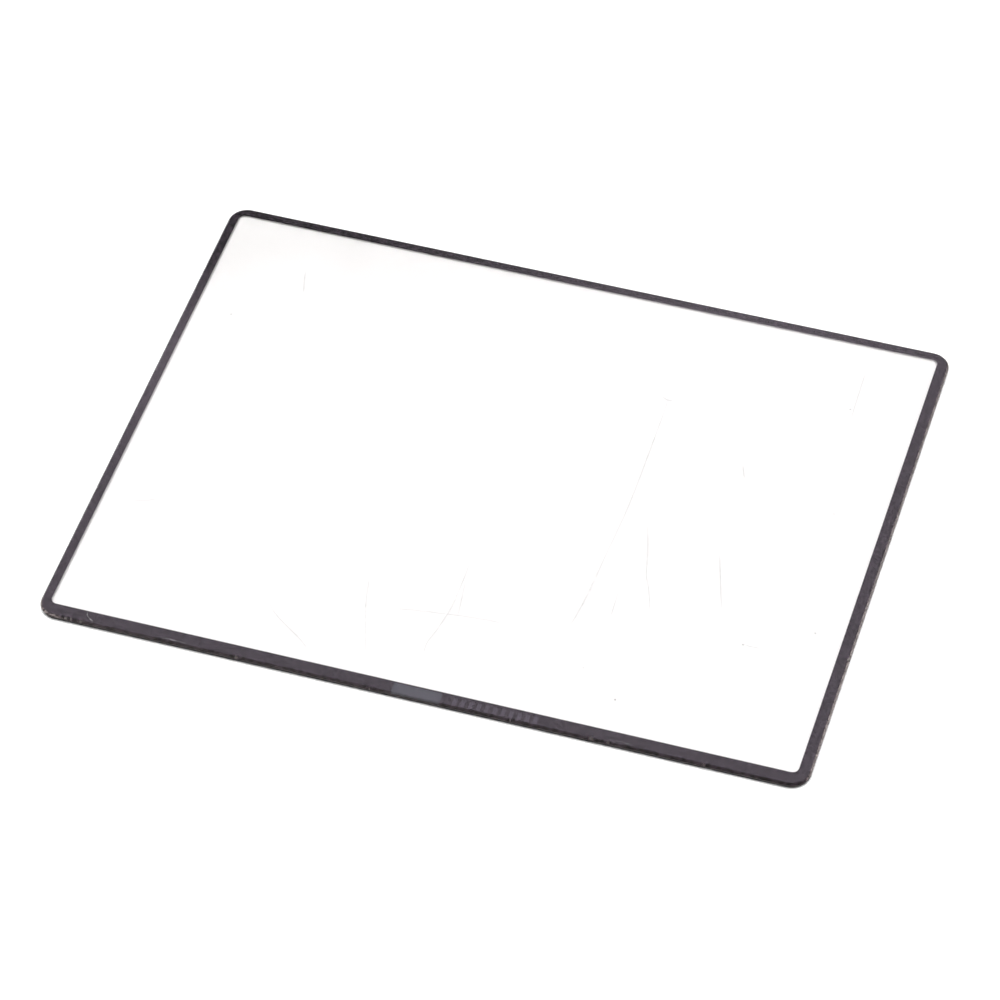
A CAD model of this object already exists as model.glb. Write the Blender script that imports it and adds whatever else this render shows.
"""Looks of a glass protector for a camera monitor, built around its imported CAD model."""
import math
import random

import bmesh
import bpy
from mathutils import Matrix, Vector, noise


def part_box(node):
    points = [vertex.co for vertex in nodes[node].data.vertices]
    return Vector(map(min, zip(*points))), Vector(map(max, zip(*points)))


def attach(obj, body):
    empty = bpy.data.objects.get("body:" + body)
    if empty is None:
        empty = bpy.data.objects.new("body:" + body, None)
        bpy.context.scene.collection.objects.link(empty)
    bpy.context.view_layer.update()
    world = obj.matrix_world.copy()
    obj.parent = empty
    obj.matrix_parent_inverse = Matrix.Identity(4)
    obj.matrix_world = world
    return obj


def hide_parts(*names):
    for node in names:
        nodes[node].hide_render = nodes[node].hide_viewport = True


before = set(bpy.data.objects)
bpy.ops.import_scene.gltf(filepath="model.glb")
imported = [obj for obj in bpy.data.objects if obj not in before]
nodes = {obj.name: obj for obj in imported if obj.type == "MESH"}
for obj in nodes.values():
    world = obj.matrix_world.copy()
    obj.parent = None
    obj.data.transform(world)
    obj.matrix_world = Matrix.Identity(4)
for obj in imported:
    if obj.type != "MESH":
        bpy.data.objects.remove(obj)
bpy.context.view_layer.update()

MM = 0.001
SEED = 41

# ---------------------------------------------------------------- camera

CAMERA_AZIMUTH = math.radians(17.47)
CAMERA_ELEVATION = math.radians(47.29)
CAMERA_ROLL = math.radians(-0.61)
CAMERA_DISTANCE = 0.4634
CAMERA_TARGET = Vector((0.16, -2.02, 0.0)) * MM
CAMERA_LENS = 173.3
SENSOR_WIDTH = 36.0


def add_camera():
    """The camera at the photograph's viewing angle."""
    a, e = CAMERA_AZIMUTH, CAMERA_ELEVATION
    back = Vector((math.sin(a) * math.cos(e), -math.cos(a) * math.cos(e), math.sin(e)))
    right = Vector((0, 0, 1)).cross(back).normalized()
    up = back.cross(right)
    c, s = math.cos(CAMERA_ROLL), math.sin(CAMERA_ROLL)
    axes = Matrix((c * right + s * up, c * up - s * right, back)).transposed()
    data = bpy.data.cameras.new("camera")
    data.lens = CAMERA_LENS
    data.sensor_width = SENSOR_WIDTH
    data.clip_start = 0.01
    data.clip_end = 20.0
    camera = bpy.data.objects.new("camera", data)
    camera.matrix_world = Matrix.Translation(CAMERA_TARGET + back * CAMERA_DISTANCE) @ axes.to_4x4()
    bpy.context.scene.collection.objects.link(camera)
    bpy.context.scene.camera = camera


add_camera()

# ---------------------------------------------------------------- sizes, from the frame

LEVEL_TOLERANCE = 0.001 * MM


def node_size(node):
    """Width, depth, lowest and highest level of a CAD node."""
    low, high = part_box(node)
    return high.x - low.x, high.y - low.y, low.z, high.z


def half_width(node, level):
    """Largest X of a CAD node at one level."""
    places = [v.co for v in nodes[node].data.vertices]
    return max(p.x for p in places if abs(p.z - level) < LEVEL_TOLERANCE)


def corner_radius(node):
    """Radius of the corners of a CAD node, from where its straight right side ends."""
    places = [v.co for v in nodes[node].data.vertices]
    edge = max(p.x for p in places)
    straight = max(p.y for p in places if edge - p.x < LEVEL_TOLERANCE)
    return max(p.y for p in places) - straight


glass_w, glass_d, glass_z, glass_top = node_size("glass_plate")
glass_t = glass_top - glass_z
glass_r = corner_radius("glass_plate")
bevel = glass_w / 2 - half_width("glass_plate", glass_top)
arris = glass_w / 2 - half_width("glass_plate", glass_z)
film_w, film_d, film_z, film_top = node_size("face_film")
film_r = corner_radius("face_film")

# ---------------------------------------------------------------- node helpers


class Tree:
    """Short way to build a material's node tree."""

    def __init__(self, name):
        self.material = bpy.data.materials.new(name)
        self.material.use_nodes = True
        self.tree = self.material.node_tree
        self.tree.nodes.clear()

    def node(self, kind, inputs=None, **settings):
        """A new node with its settings, and its inputs set or linked."""
        made = self.tree.nodes.new(kind)
        for key, value in settings.items():
            setattr(made, key, value)
        for key, value in (inputs or {}).items():
            socket = made.inputs[key]
            if isinstance(value, bpy.types.NodeSocket):
                self.tree.links.new(value, socket)
            else:
                socket.default_value = value
        return made

    def position(self):
        """The point in the part's own frame."""
        return self.node("ShaderNodeTexCoord").outputs["Object"]

    def noise(self, scale, detail=3.0, roughness=0.5, stretch=None):
        """Noise with so many waves to the metre."""
        vector = self.position()
        if stretch:
            vector = self.node("ShaderNodeMapping", {"Vector": vector, "Scale": stretch}).outputs[0]
        made = self.node(
            "ShaderNodeTexNoise",
            {"Vector": vector, "Scale": scale, "Detail": detail, "Roughness": roughness},
        )
        return made.outputs["Fac"]

    def math(self, operation, first, second):
        """One sum of two values."""
        return self.node("ShaderNodeMath", {0: first, 1: second}, operation=operation).outputs[0]

    def ramp(self, fac, *stops):
        """Colour ramp through (place, colour) stops."""
        made = self.node("ShaderNodeValToRGB", {"Fac": fac})
        elements = made.color_ramp.elements
        while len(elements) < len(stops):
            elements.new(0.5)
        for element, (place, colour) in zip(elements, stops):
            element.position = place
            element.color = (*colour, 1.0)
        return made.outputs["Color"]

    def spread(self, fac, low, high, start=0.0, stop=1.0):
        """fac mapped from start..stop to low..high."""
        made = self.node(
            "ShaderNodeMapRange",
            {"Value": fac, "From Min": start, "From Max": stop, "To Min": low, "To Max": high},
        )
        return made.outputs["Result"]

    def bump(self, height, distance, strength=1.0):
        """Normal bent by a height map."""
        made = self.node(
            "ShaderNodeBump", {"Height": height, "Distance": distance, "Strength": strength}
        )
        return made.outputs["Normal"]

    def finish(self, shader):
        """Shows the shader and returns the material."""
        self.node("ShaderNodeOutputMaterial", {"Surface": shader.outputs[0]})
        return self.material


# ---------------------------------------------------------------- materials

COATING_TINT = (0.97, 0.82, 1.0)
GRIND_TINT = (1.0, 0.84, 0.80)
GRIND_SHADE = (0.34, 0.28, 0.27)
GLASS_TINT = (0.955, 0.947, 0.953, 1.0)
GROUND_TINT = (0.9, 0.9, 0.9, 1.0)


def ink_material(name, dark, light, rough):
    """Screen-printed ink: finely mottled, with the dimples left by the mesh of the screen."""
    t = Tree(name)
    mottle = t.noise(scale=3000, detail=2.0, roughness=0.6)
    cloud = t.noise(scale=240, detail=2.0)
    screen = t.node(
        "ShaderNodeTexVoronoi", {"Vector": t.position(), "Scale": 6500.0}, feature="F1"
    ).outputs["Distance"]
    shader = t.node(
        "ShaderNodeBsdfPrincipled",
        {
            "Base Color": t.ramp(mottle, (0.40, dark), (0.60, light)),
            "Roughness": t.spread(cloud, rough - 0.08, rough + 0.08),
            "Specular IOR Level": 0.1,
            "Normal": t.bump(screen, distance=0.0015 * MM, strength=0.5),
        },
    )
    return t.finish(shader)


def tape_material():
    """Black double-sided tape, with the fine texture of its tacky coat."""
    t = Tree("tape_black")
    grain = t.noise(scale=3500, detail=4.0, roughness=0.65)
    streaks = t.noise(scale=900, detail=2.0, stretch=(1.0, 0.15, 1.0))
    shader = t.node(
        "ShaderNodeBsdfPrincipled",
        {
            "Base Color": t.ramp(grain, (0.3, (0.008, 0.007, 0.008)), (0.75, (0.022, 0.02, 0.022))),
            "Roughness": t.spread(streaks, 0.38, 0.6),
            "Specular IOR Level": 0.15,
            "Normal": t.bump(grain, distance=0.004 * MM, strength=0.6),
        },
    )
    return t.finish(shader)


def clear_sheet(name, tint, shine, rough, ior):
    """Thin clear sheet: it lets light straight through and mirrors a little of it. Only the side
    that light enters by mirrors, because the other one would mirror the same light again."""
    t = Tree(name)
    fresnel = t.node("ShaderNodeFresnel", {"IOR": ior}).outputs[0]
    leaving = t.node("ShaderNodeNewGeometry").outputs["Backfacing"]
    share = t.math("MULTIPLY", fresnel, t.math("SUBTRACT", 1.0, leaving))
    mirror = t.node(
        "ShaderNodeBsdfGlossy",
        {"Color": (*shine, 1.0), "Roughness": t.spread(t.noise(400), rough * 0.7, rough * 1.3)},
    )
    cloudy = tuple(min(1.0, c * 1.004) for c in tint)
    clear = t.node(
        "ShaderNodeBsdfTransparent", {"Color": t.ramp(t.noise(150), (0.3, tint), (0.7, cloudy))}
    )
    mix = t.node("ShaderNodeMixShader", {0: share, 1: clear.outputs[0], 2: mirror.outputs[0]})
    return t.finish(mix)


def through_for_light(t, shader, tint):
    """The shader, and in its place a clear passage for shadow rays and scattered light."""
    path = t.node("ShaderNodeLightPath")
    light = t.math("MAXIMUM", path.outputs["Is Shadow Ray"], path.outputs["Is Diffuse Ray"])
    clear = t.node("ShaderNodeBsdfTransparent", {"Color": tint})
    return t.node("ShaderNodeMixShader", {0: light, 1: shader.outputs[0], 2: clear.outputs[0]})


def glass_material():
    """Polished optical glass, which lets light through to what lies under it."""
    t = Tree("optical_glass")
    glass = t.node(
        "ShaderNodeBsdfPrincipled",
        {
            "Base Color": GLASS_TINT,
            "Roughness": 0.0,
            "IOR": 1.5,
            "Transmission Weight": 1.0,
            "Specular Tint": (*COATING_TINT, 1.0),
            "Normal": t.bump(t.noise(scale=35, detail=1.0), distance=0.002 * MM, strength=0.2),
        },
    )
    return t.finish(through_for_light(t, glass, GLASS_TINT))


def ground_material(name, tint, rough, shine, frost, coarse_frost):
    """Ground glass with the fine lines of the grinding wheel and a white frosting of tiny chips.
    The frosting grows from right to left. There is more of it along the right edge and round the
    front left corner, where the grinding is coarser."""
    t = Tree(name)
    lines = t.noise(scale=5200, detail=3.0, roughness=0.6)
    grit = t.noise(scale=6000, detail=2.0, roughness=0.7)
    place = t.node("ShaderNodeSeparateXYZ", {0: t.position()}).outputs
    face_edge = glass_w / 2 - 2 * bevel
    right = t.spread(place["X"], 0.0, 1.0, start=face_edge, stop=face_edge + 0.5 * bevel)
    forward = t.spread(place["Y"], 1.0, 0.5, start=-glass_d / 2, stop=0.0)
    right = t.math("MULTIPLY", right, forward)
    diagonal = t.math("ADD", place["X"], place["Y"])
    corner = glass_r - (glass_w + glass_d) / 2
    left = t.spread(diagonal, 1.0, 0.0, start=corner, stop=corner + 0.6 * glass_r)
    fine = t.spread(place["X"], 2 * frost, 0.0, start=-glass_w / 2, stop=glass_w / 2)
    coarse = t.math("MULTIPLY", t.math("MAXIMUM", right, left), coarse_frost)
    share = t.math("MAXIMUM", fine, coarse)
    white = t.math("MULTIPLY", share, t.spread(grit, 0.0, 1.0, start=0.40, stop=0.60))
    shader = t.node(
        "ShaderNodeBsdfPrincipled",
        {
            "Base Color": (*tint, 1.0),
            "Roughness": t.spread(t.noise(scale=1200), rough * 0.6, rough * 1.4),
            "IOR": 1.5,
            "Specular IOR Level": shine,
            "Specular Tint": t.ramp(grit, (0.42, GRIND_SHADE), (0.58, GRIND_TINT)),
            "Transmission Weight": t.math("SUBTRACT", 1.0, white),
            "Normal": t.bump(lines, distance=0.003 * MM, strength=0.5),
        },
    )
    return t.finish(through_for_light(t, shader, GROUND_TINT))


def scuff_material(name, colour, faint, strong):
    """Worn plastic in a scratch: it breaks up along its length."""
    t = Tree(name)
    broken = t.noise(scale=1500, detail=3.0, roughness=0.6)
    shader = t.node(
        "ShaderNodeBsdfPrincipled",
        {
            "Base Color": (*colour, 1.0),
            "Roughness": 0.6,
            "Alpha": t.spread(broken, faint, strong, start=0.38, stop=0.62),
        },
    )
    return t.finish(shader)


def floor_material():
    """Plain pale paper."""
    t = Tree("floor_paper")
    cloud = t.noise(scale=30, detail=2.0)
    grain = t.noise(scale=900, detail=4.0, roughness=0.6)
    pale = t.ramp(cloud, (0.2, (0.895, 0.895, 0.895)), (0.8, (0.91, 0.91, 0.91)))
    shader = t.node(
        "ShaderNodeBsdfPrincipled",
        {
            "Base Color": pale,
            "Roughness": 0.9,
            "Specular IOR Level": 0.1,
            "Normal": t.bump(grain, distance=0.02 * MM, strength=0.05),
        },
    )
    return t.finish(shader)


# ---------------------------------------------------------------- mesh helpers


def link_mesh(name, bm, materials):
    """A new object from a bmesh. The edges of its flat-shaded faces are sharp."""
    mesh = bpy.data.meshes.new(name)
    bm.normal_update()
    for edge in bm.edges:
        edge.smooth = all(face.smooth for face in edge.link_faces)
    bm.to_mesh(mesh)
    bm.free()
    for material in materials:
        mesh.materials.append(material)
    piece = bpy.data.objects.new(name, mesh)
    bpy.context.scene.collection.objects.link(piece)
    return piece


def rounded_outline(width, depth, radius, step, arc_steps=20):
    """Points and outward directions along a rounded rectangle, anticlockwise from the front right."""
    hx, hy = width / 2 - radius, depth / 2 - radius
    corners = [(hx, -hy, -90), (hx, hy, 0), (-hx, hy, 90), (-hx, -hy, 180)]
    marks = []
    for i, (cx, cy, start) in enumerate(corners):
        for k in range(arc_steps + 1):
            angle = math.radians(start + 90 * k / arc_steps)
            out = Vector((math.cos(angle), math.sin(angle), 0))
            marks.append((Vector((cx, cy, 0)) + out * radius, out))
        nx, ny, _ = corners[(i + 1) % 4]
        begin = marks[-1][0]
        end = Vector((nx, ny, 0)) + marks[-1][1] * radius
        count = max(1, round((end - begin).length / step))
        for k in range(1, count):
            marks.append((begin.lerp(end, k / count), marks[-1][1]))
    return marks


def join_rings(bm, low, high, slot=0, smooth=True):
    """A band of faces between two closed rings of vertices."""
    count = len(low)
    for i in range(count):
        j = (i + 1) % count
        face = bm.faces.new((low[i], low[j], high[j], high[i]))
        face.material_index = slot
        face.smooth = smooth


# ---------------------------------------------------------------- glass plate

EDGE_STEP = 0.15 * MM
# Rounding below the bevel, and at the edges of the chamfer
FILLET = 0.006 * MM
EASE = 0.004 * MM
# How far the lower face lies inside the ink
CONTACT = 0.003 * MM
# Height of the waves that the wheel leaves, and how many there are to the metre
GRIND_WAVE = 0.0015 * MM
GRIND_COUNT = 1500
# Share of a chip that reaches down the bevel, and the depth from which it looks chipped
CHIP_FOOT = 0.3
CHIP_SHOWS = 0.02 * MM
POLISHED, SIDE, GROUND, CHIPPED = 0, 1, 2, 3

# Small chips along the edge of the face: place along X and Y, radius and depth, in mm
CHIPS = [
    (-34.5, -28.7, 0.14, 0.06),
    (-33.9, -28.7, 0.12, 0.05),
    (-33.0, -28.7, 0.14, 0.05),
    (-17.5, -28.7, 0.18, 0.07),
    (-4.4, -28.7, 0.12, 0.05),
    (9.2, -28.7, 0.14, 0.06),
    (12.6, -28.7, 0.10, 0.04),
    (17.0, -28.7, 0.24, 0.09),
    (18.6, -28.7, 0.14, 0.05),
    (27.7, -28.7, 0.22, 0.09),
    (37.4, -20.5, 0.14, 0.05),
    (37.4, -12.6, 0.24, 0.09),
    (37.4, 3.5, 0.16, 0.06),
    (-37.4, -12.0, 0.18, 0.07),
]


def chip_depth(point):
    """How far the chips cut in at a point on the edge."""
    deepest = 0.0
    for x, y, radius, depth in CHIPS:
        away = math.hypot(point.x / MM - x, point.y / MM - y)
        if away < radius:
            deepest = max(deepest, depth * MM * (1 - (away / radius) ** 2))
    return deepest


def add_glass():
    """The glass plate, with a fillet below its bevel, uneven grinding and its chips.
    Its lower face lies a little inside the ink, as ink and glass touch without a gap."""
    t, b, f, a = glass_t, bevel, FILLET, arris
    profile = [
        (a + f, -CONTACT),
        (a, EASE / 4 - CONTACT),
        (EASE, a - EASE),
        (0.0, a + 2 * EASE),
        (0.0, t - b - f),
        (0.3 * f, t - b - 0.3 * f),
        (f, t - b + f),
        (b, t),
    ]
    slots = [POLISHED, SIDE, SIDE, SIDE, SIDE, GROUND, GROUND]
    bevel_start, bevel_top = 5, 7
    marks = rounded_outline(glass_w, glass_d, glass_r, EDGE_STEP)
    bm = bmesh.new()
    rings = []
    for ring, (inset, z) in enumerate(profile):
        row = []
        for point, out in marks:
            cut = chip_depth(point)
            if ring < bevel_start:
                extra = 0.0
            elif ring < bevel_top:
                extra = CHIP_FOOT * cut
            else:
                extra = cut + GRIND_WAVE * (1 + noise.noise(point * GRIND_COUNT))
            place = point - out * (inset + extra)
            row.append(bm.verts.new((place.x, place.y, glass_z + z)))
        rings.append(row)
    for ring, slot in enumerate(slots):
        join_rings(bm, rings[ring], rings[ring + 1], slot, smooth=slot != GROUND)
    for face in bm.faces:
        if face.material_index == GROUND and chip_depth(face.verts[0].co) > CHIP_SHOWS:
            face.material_index = CHIPPED
    bm.faces.new(list(reversed(rings[0])))
    bm.faces.new(rings[-1])
    materials = [
        glass_material(),
        ground_material(
            "ground_side", (0.004, 0.003, 0.0035), rough=0.3, shine=0.05, frost=0.0, coarse_frost=0.0
        ),
        ground_material(
            "ground_bevel", (0.84, 0.71, 0.69), rough=0.18, shine=0.4, frost=0.022, coarse_frost=0.34
        ),
        ground_material(
            "chipped_edge", (0.80, 0.72, 0.70), rough=0.4, shine=0.5, frost=0.07, coarse_frost=0.4
        ),
    ]
    piece = link_mesh("glass_sheet", bm, materials)
    modifier = piece.modifiers.new("even_normals", "WEIGHTED_NORMAL")
    modifier.keep_sharp = True
    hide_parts("glass_plate")
    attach(piece, "protector")


add_glass()

# ---------------------------------------------------------------- film over the face

FILM_STEP = 0.5 * MM
FILM_ROUNDING = 0.004 * MM
# Height of the waves of the film, and how many there are to the metre
FILM_WAVE = 0.003 * MM
FILM_WAVE_COUNT = 60
# Sizes of the rings of vertices between the film's edge and its middle
RING_SCALES = (0.995, 0.985, 0.96, 0.92, 0.86, 0.78, 0.68, 0.56, 0.42, 0.26, 0.1)


def film_wave(point):
    """Height of the gentle waves of the film."""
    return FILM_WAVE * noise.noise(point * FILM_WAVE_COUNT)


def film_ring(bm, marks, inset, scale, level):
    """A ring of the film, drawn in by an inset and then shrunk by a scale."""
    row = []
    for point, out in marks:
        place = (point - out * inset) * scale
        row.append(bm.verts.new((place.x, place.y, level + film_wave(place))))
    return row


def add_face_film():
    """The peel-off film, gently wavy, with the rounded edge that a blade leaves."""
    marks = rounded_outline(film_w, film_d, film_r, FILM_STEP)
    r = FILM_ROUNDING
    bm = bmesh.new()
    side = [(r, film_z), (0.0, film_z + r), (0.0, film_top - r), (r, film_top)]
    rows = [film_ring(bm, marks, inset, 1.0, level) for inset, level in side]
    for low, high in zip(rows, rows[1:]):
        join_rings(bm, low, high, smooth=False)
    for level, edge, turned in ((film_top, rows[-1], False), (film_z, rows[0], True)):
        outer = edge
        for scale in RING_SCALES:
            inner = film_ring(bm, marks, 0.0, scale, level)
            pair = (inner, outer) if turned else (outer, inner)
            join_rings(bm, *pair)
            outer = inner
        bm.faces.new(list(reversed(outer)) if turned else outer)
    material = clear_sheet("film_face", (0.996, 0.996, 0.996), COATING_TINT, rough=0.08, ior=1.45)
    piece = link_mesh("face_sheet", bm, [material])
    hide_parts("face_film")
    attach(piece, "cover")


add_face_film()

# ---------------------------------------------------------------- scratches and specks

# The wear lies just above the highest wave of the film
wear_level = film_top + 2 * FILM_WAVE
WEAR_HEIGHT = 0.003 * MM

# A ridge, with lengths in mm: step along its path, how fast it widens from its ends, width of its
# tips, spread of its width, and how far it wanders to the side
RIDGE_STEP = 0.25
RIDGE_TAPER = 4
RIDGE_TIP = 0.05
RIDGE_WIDTHS = (0.7, 1.15)
RIDGE_WANDER = 0.012

# A speck: number of its sides, spread of its radius, and width of its top
SPECK_SIDES = 9
SPECK_RADII = (0.75, 1.2)
SPECK_CROWN = 0.5

# Scratches in the film: width, and the points they run through, in mm
SCRATCHES = [
    (0.14, (12.2, 15.5), (12.3, 11.3), (12.4, 0.8), (12.0, -7.2)),
    (0.19, (12.1, -6.0), (11.75, -12.7), (11.25, -16.7)),
    (0.14, (11.5, 15.2), (12.2, 14.8), (12.9, 14.9)),
    (0.16, (14.6, -0.9), (15.7, -4.7), (16.4, -7.7), (17.2, -9.7), (18.2, -12.7)),
    (0.16, (-8.6, -15.7), (-7.8, -19.2), (-6.0, -24.7)),
    (0.16, (0.0, -10.2), (0.0, -16.7), (-0.5, -20.2), (-0.9, -22.2), (-0.6, -24.2)),
    (0.11, (0.3, -13.7), (0.9, -18.0)),
    (0.11, (-6.5, -19.0), (-1.8, -18.2), (4.0, -17.6), (7.2, -18.0)),
    (0.14, (22.3, -3.0), (24.0, -8.7), (24.6, -10.4)),
    (0.11, (14.5, -10.7), (14.7, -14.2)),
    (0.16, (-17.0, -21.0), (-15.5, -22.7), (-12.7, -24.7), (-11.2, -26.0)),
    (0.11, (-27.6, 21.8), (-26.7, 18.5)),
    (0.11, (29.8, 24.3), (30.0, 16.8)),
    (0.14, (21.5, 8.5), (22.1, 6.8)),
    (0.11, (27.5, -13.7), (29.2, -13.7)),
    (0.14, (-33.7, -12.7), (-32.4, -12.5), (-31.0, -11.7)),
]

# Scratches that show pale, over the border
PALE_SCRATCHES = [
    (0.09, (-32.6, -27.3), (-32.6, -27.7), (-32.3, -28.1), (-31.85, -28.35), (-31.5, -28.5)),
    (0.06, (-25.0, -28.4), (-23.6, -28.45), (-22.2, -28.5)),
    (0.06, (19.5, -28.3), (21.0, -28.4)),
]

# Specks: place and radius, in mm
SPECKS = [
    (-7.8, -19.2, 0.12),
    (29.6, 18.7, 0.09),
    (-32.7, 13.8, 0.10),
    (27.5, -13.7, 0.12),
    (17.9, -23.6, 0.10),
    (33.6, -10.4, 0.09),
    (15.5, -20.0, 0.08),
    (14.0, -20.7, 0.08),
    (31.5, 4.8, 0.08),
]

# Fine dust at random, in mm: number of grains, their radii and distance from the film's edge
DUST_COUNT = 90
DUST_RADIUS = (0.02, 0.05)
DUST_MARGIN = 2


def smooth_path(points, step):
    """Points at even steps along a smooth curve through the given ones."""
    ends = [2 * points[0] - points[1], *points, 2 * points[-1] - points[-2]]
    path = []
    for a, b, c, d in zip(ends, ends[1:], ends[2:], ends[3:]):
        count = max(2, round((c - b).length / step))
        for k in range(count):
            u = k / count
            path.append(
                0.5 * (2 * b + (c - a) * u + (2 * a - 5 * b + 4 * c - d) * u ** 2
                       + (3 * b - a - 3 * c + d) * u ** 3)
            )
    path.append(points[-1].copy())
    return path


def add_ridge(bm, width, points, rng):
    """A low closed ridge along a path, pointed at both ends."""
    path = smooth_path([Vector((x, y, 0)) for x, y in points], RIDGE_STEP)
    last = len(path) - 1
    rings = []
    for k, place in enumerate(path):
        along = path[min(k + 1, last)] - path[max(k - 1, 0)]
        side = Vector((-along.y, along.x, 0)).normalized()
        taper = min(1.0, RIDGE_TAPER * min(k, last - k) / last + RIDGE_TIP)
        half = 0.5 * width * taper * rng.uniform(*RIDGE_WIDTHS)
        middle = place + side * rng.uniform(-RIDGE_WANDER, RIDGE_WANDER)
        spots = [middle - side * half, middle, middle + side * half]
        heights = [0.0, WEAR_HEIGHT * taper, 0.0]
        rings.append(
            [bm.verts.new((s.x * MM, s.y * MM, wear_level + h)) for s, h in zip(spots, heights)]
        )
    for low, high in zip(rings, rings[1:]):
        join_rings(bm, high, low)
    bm.faces.new(rings[0])
    bm.faces.new(list(reversed(rings[-1])))


def add_speck(bm, x, y, radius, rng):
    """A low uneven dome."""
    centre = Vector((x, y, 0)) * MM
    centre.z = wear_level
    rim = []
    crown = []
    for k in range(SPECK_SIDES):
        angle = 2 * math.pi * k / SPECK_SIDES
        reach = radius * MM * rng.uniform(*SPECK_RADII)
        out = Vector((reach * math.cos(angle), reach * math.sin(angle), 0))
        rim.append(bm.verts.new(centre + out))
        crown.append(bm.verts.new(centre + SPECK_CROWN * out + Vector((0, 0, WEAR_HEIGHT))))
    join_rings(bm, rim, crown)
    bm.faces.new(crown)
    bm.faces.new(list(reversed(rim)))


def add_wear(name, bm, material):
    """A piece of wear that lifts with the film."""
    piece = link_mesh(name, bm, [material])
    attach(piece, "cover")


def add_scratches(name, scratches, material, rng):
    """All scratches of one kind as one piece."""
    bm = bmesh.new()
    for width, *points in scratches:
        add_ridge(bm, width, points, rng)
    add_wear(name, bm, material)


def add_specks(rng):
    """The specks, and finer dust at random."""
    bm = bmesh.new()
    for x, y, radius in SPECKS:
        add_speck(bm, x, y, radius, rng)
    reach_x, reach_y = film_w / 2 / MM - DUST_MARGIN, film_d / 2 / MM - DUST_MARGIN
    for _ in range(DUST_COUNT):
        x, y = rng.uniform(-reach_x, reach_x), rng.uniform(-reach_y, reach_y)
        add_speck(bm, x, y, rng.uniform(*DUST_RADIUS), rng)
    add_wear("specks", bm, scuff_material("speck_grey", (0.30, 0.28, 0.29), 0.08, 0.3))


wear_random = random.Random(SEED)
scratch_grey = scuff_material("scratch_grey", (0.46, 0.45, 0.46), 0.015, 0.08)
scratch_pale = scuff_material("scratch_pale", (0.75, 0.72, 0.75), 0.12, 0.36)
add_scratches("scratches", SCRATCHES, scratch_grey, wear_random)
add_scratches("border_scratches", PALE_SCRATCHES, scratch_pale, wear_random)
add_specks(wear_random)

# ---------------------------------------------------------------- layers carried over from CAD


def set_material(node, material):
    """Gives every slot of a CAD node one material."""
    piece = nodes[node]
    if not piece.material_slots:
        piece.data.materials.append(material)
    for item in piece.material_slots:
        item.material = material


WHITE = (1.0, 1.0, 1.0)
LAYER_MATERIALS = {
    "border_print": ink_material("ink_dark", (0.0, 0.0, 0.0), (0.027, 0.02, 0.027), 0.5),
    "maker_bar": ink_material("ink_pale", (0.042, 0.045, 0.053), (0.056, 0.057, 0.068), 0.5),
    "code_dashes": ink_material("ink_dashes", (0.040, 0.034, 0.045), (0.053, 0.045, 0.059), 0.5),
    "adhesive_frame": tape_material(),
    "safety_film": clear_sheet("film_safety", (0.995, 0.995, 0.992), WHITE, 0.04, ior=1.05),
    "optical_adhesive": clear_sheet("adhesive_clear", (0.998, 0.998, 0.995), WHITE, 0.1, ior=1.03),
    "release_liner": clear_sheet("film_liner", (0.99, 0.99, 0.99), WHITE, 0.12, ior=1.4),
}
for node, material in LAYER_MATERIALS.items():
    set_material(node, material)

# ---------------------------------------------------------------- floor and light

FLOOR_SIZE = 6.0
FLOOR_DROP = 0.00002


def add_floor():
    """Plain pale floor just under the liner."""
    bm = bmesh.new()
    bmesh.ops.create_grid(bm, x_segments=1, y_segments=1, size=FLOOR_SIZE / 2)
    floor = link_mesh("floor", bm, [floor_material()])
    floor.location.z = -FLOOR_DROP


def add_panel(name, azimuth, elevation, distance, width, height, radiance):
    """Soft rectangular light that faces the object. Azimuth 0 is towards +Y and 90 towards +X."""
    a, e = math.radians(azimuth), math.radians(elevation)
    away = Vector((math.sin(a) * math.cos(e), math.cos(a) * math.cos(e), math.sin(e)))
    data = bpy.data.lights.new(name, "AREA")
    data.shape = "RECTANGLE"
    data.size = width
    data.size_y = height
    data.energy = radiance * math.pi * width * height
    light = bpy.data.objects.new(name, data)
    light.location = away * distance
    light.rotation_euler = away.to_track_quat("Z", "Y").to_euler()
    light.visible_camera = False
    bpy.context.scene.collection.objects.link(light)


def z_at(degrees):
    """Z of the direction at an elevation."""
    return math.sin(math.radians(degrees))


# The wall behind the object starts at the first elevation. It has a glow above its lower edge,
# which fades out towards the last elevation and, by X of the direction, towards the right.
WALL_START, WALL_FULL, WALL_FADED = z_at(44.0), z_at(45.3), z_at(46.9)
WALL_LEVEL, GLOW_LEVEL = 0.62, 0.38
GLOW_SIDES = (-0.17, -0.10)
# A wide ring of soft light hangs between these elevations
RING_LOW = (z_at(51.0), z_at(55.0))
RING_HIGH = (z_at(77.0), z_at(81.0))
RING_LEVEL = 4.5
DARK_LEVEL = 0.03


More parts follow.
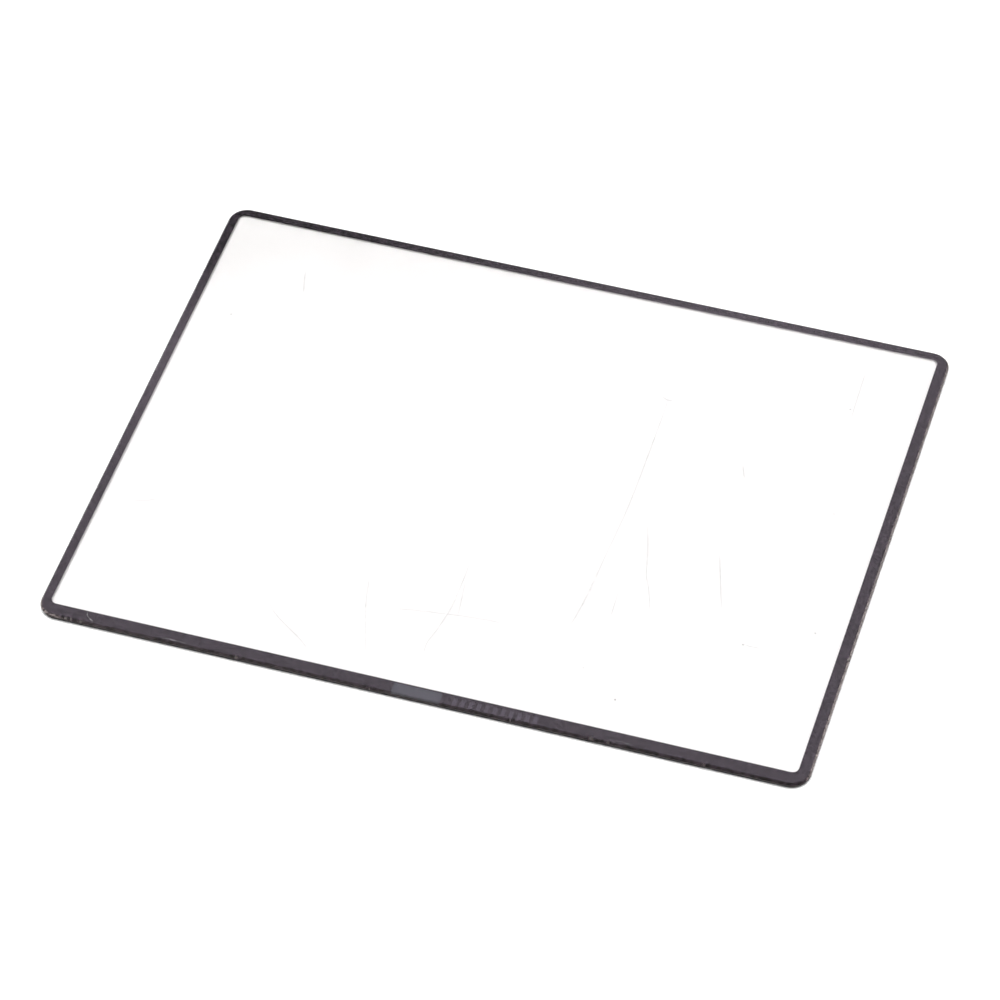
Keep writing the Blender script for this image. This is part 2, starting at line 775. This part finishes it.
def add_world():
    """Dim surroundings with a ring of soft light overhead and a softly lit wall at the back.
    Straight behind everything is a plain pale background."""
    world = bpy.data.worlds.new("surroundings")
    world.use_nodes = True
    tree = world.node_tree
    background = tree.nodes["Background"]
    direction = tree.nodes.new("ShaderNodeTexCoord").outputs["Generated"]
    split = tree.nodes.new("ShaderNodeSeparateXYZ")
    tree.links.new(direction, split.inputs[0])
    side, back, up = split.outputs

    def fade(source, start, stop, low=0.0, high=1.0):
        """Smooth change from low at start to high at stop."""
        made = tree.nodes.new("ShaderNodeMapRange")
        made.interpolation_type = "SMOOTHSTEP"
        tree.links.new(source, made.inputs["Value"])
        for key, value in zip(("From Min", "From Max", "To Min", "To Max"), (start, stop, low, high)):
            made.inputs[key].default_value = value
        return made.outputs["Result"]

    def combine(operation, first, second):
        """One sum of two values."""
        made = tree.nodes.new("ShaderNodeMath")
        made.operation = operation
        for socket, value in zip(made.inputs, (first, second)):
            if isinstance(value, float):
                socket.default_value = value
            else:
                tree.links.new(value, socket)
        return made.outputs[0]

    glow = fade(up, WALL_FULL, WALL_FADED, GLOW_LEVEL, 0.0)
    glow = combine("MULTIPLY", glow, fade(side, *GLOW_SIDES, 1.0, 0.0))
    wall = combine("MULTIPLY", fade(up, WALL_START, WALL_FULL), fade(back, 0.0, 0.3))
    wall = combine("MULTIPLY", wall, combine("ADD", glow, WALL_LEVEL))
    ring = combine("MULTIPLY", fade(up, *RING_LOW, 0.0, RING_LEVEL), fade(up, *RING_HIGH, 1.0, 0.0))
    light = combine("ADD", combine("ADD", wall, ring), DARK_LEVEL)
    seen = tree.nodes.new("ShaderNodeLightPath").outputs["Is Camera Ray"]
    tree.links.new(combine("MAXIMUM", light, seen), background.inputs["Strength"])
    background.inputs["Color"].default_value = (1.0, 1.0, 1.0, 1.0)
    bpy.context.scene.world = world


add_floor()
add_world()
add_panel(
    "right_card", azimuth=48, elevation=12, distance=0.9, width=0.26, height=0.2, radiance=3.5
)

scene = bpy.context.scene
scene.view_settings.view_transform = "Standard"
scene.cycles.transparent_max_bounces = 32
scene.cycles.transmission_bounces = 12
scene.cycles.caustics_refractive = False
scene.cycles.caustics_reflective = False
